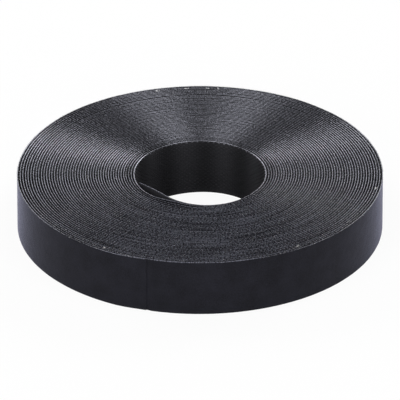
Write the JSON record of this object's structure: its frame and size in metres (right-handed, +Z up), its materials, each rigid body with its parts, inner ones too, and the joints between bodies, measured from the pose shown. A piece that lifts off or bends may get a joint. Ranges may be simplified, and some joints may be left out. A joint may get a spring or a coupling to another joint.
{
  "type": "hook and loop tape roll",
  "caption": "Coreless flat roll of black back-to-back hook and loop tape, loop fabric outside and hook film inside, with an open centre hole and a free outer end that peels off.",
  "frame": {"origin": "on the roll's axis, at the surface that the roll lies on", "axes": "+Z up along the roll's axis, across the tape's width; -Y towards the viewer of the picture"},
  "size_m": [0.1553, 0.1541, 0.025],
  "materials": {
    "loop_fabric": "brushed knitted loops, matte",
    "hook_film": "moulded film with small hooks, satin"
  },
  "bodies": {
    "winding": {"hook_film": "hook_film", "loop_fabric": "loop_fabric"},
    "free_end_1": {"hook_end_1": "hook_film", "loop_end_1": "loop_fabric"},
    "free_end_2": {"hook_end_2": "hook_film", "loop_end_2": "loop_fabric"},
    "free_end_3": {"hook_end_3": "hook_film", "loop_end_3": "loop_fabric"},
    "free_end_4": {"hook_end_4": "hook_film", "loop_end_4": "loop_fabric"},
    "free_end_5": {"hook_end_5": "hook_film", "loop_end_5": "loop_fabric"},
    "free_end_6": {"hook_end_6": "hook_film", "loop_end_6": "loop_fabric"}
  },
  "joints": [
    {"name": "peel_1", "type": "hinge", "parent": "winding", "child": "free_end_1", "pos_m": [-0.06607, -0.04226, 0.0125], "axis": [0, 0, -1], "range_deg": [0, 25]},
    {"name": "peel_2", "type": "hinge", "parent": "free_end_1", "child": "free_end_2", "pos_m": [-0.06072, -0.0497, 0.0125], "axis": [0, 0, -1], "range_deg": [0, 25]},
    {"name": "peel_3", "type": "hinge", "parent": "free_end_2", "child": "free_end_3", "pos_m": [-0.05454, -0.05648, 0.0125], "axis": [0, 0, -1], "range_deg": [0, 25]},
    {"name": "peel_4", "type": "hinge", "parent": "free_end_3", "child": "free_end_4", "pos_m": [-0.0476, -0.06249, 0.0125], "axis": [0, 0, -1], "range_deg": [0, 25]},
    {"name": "peel_5", "type": "hinge", "parent": "free_end_4", "child": "free_end_5", "pos_m": [-0.04001, -0.06765, 0.0125], "axis": [0, 0, -1], "range_deg": [0, 25]},
    {"name": "peel_6", "type": "hinge", "parent": "free_end_5", "child": "free_end_6", "pos_m": [-0.03186, -0.07189, 0.0125], "axis": [0, 0, -1], "range_deg": [0, 25]}
  ],
  "couplings": [
    {"joint": "peel_2", "follows": "peel_1", "ratio": 1},
    {"joint": "peel_3", "follows": "peel_1", "ratio": 1},
    {"joint": "peel_4", "follows": "peel_1", "ratio": 1},
    {"joint": "peel_5", "follows": "peel_1", "ratio": 1},
    {"joint": "peel_6", "follows": "peel_1", "ratio": 1}
  ]
}
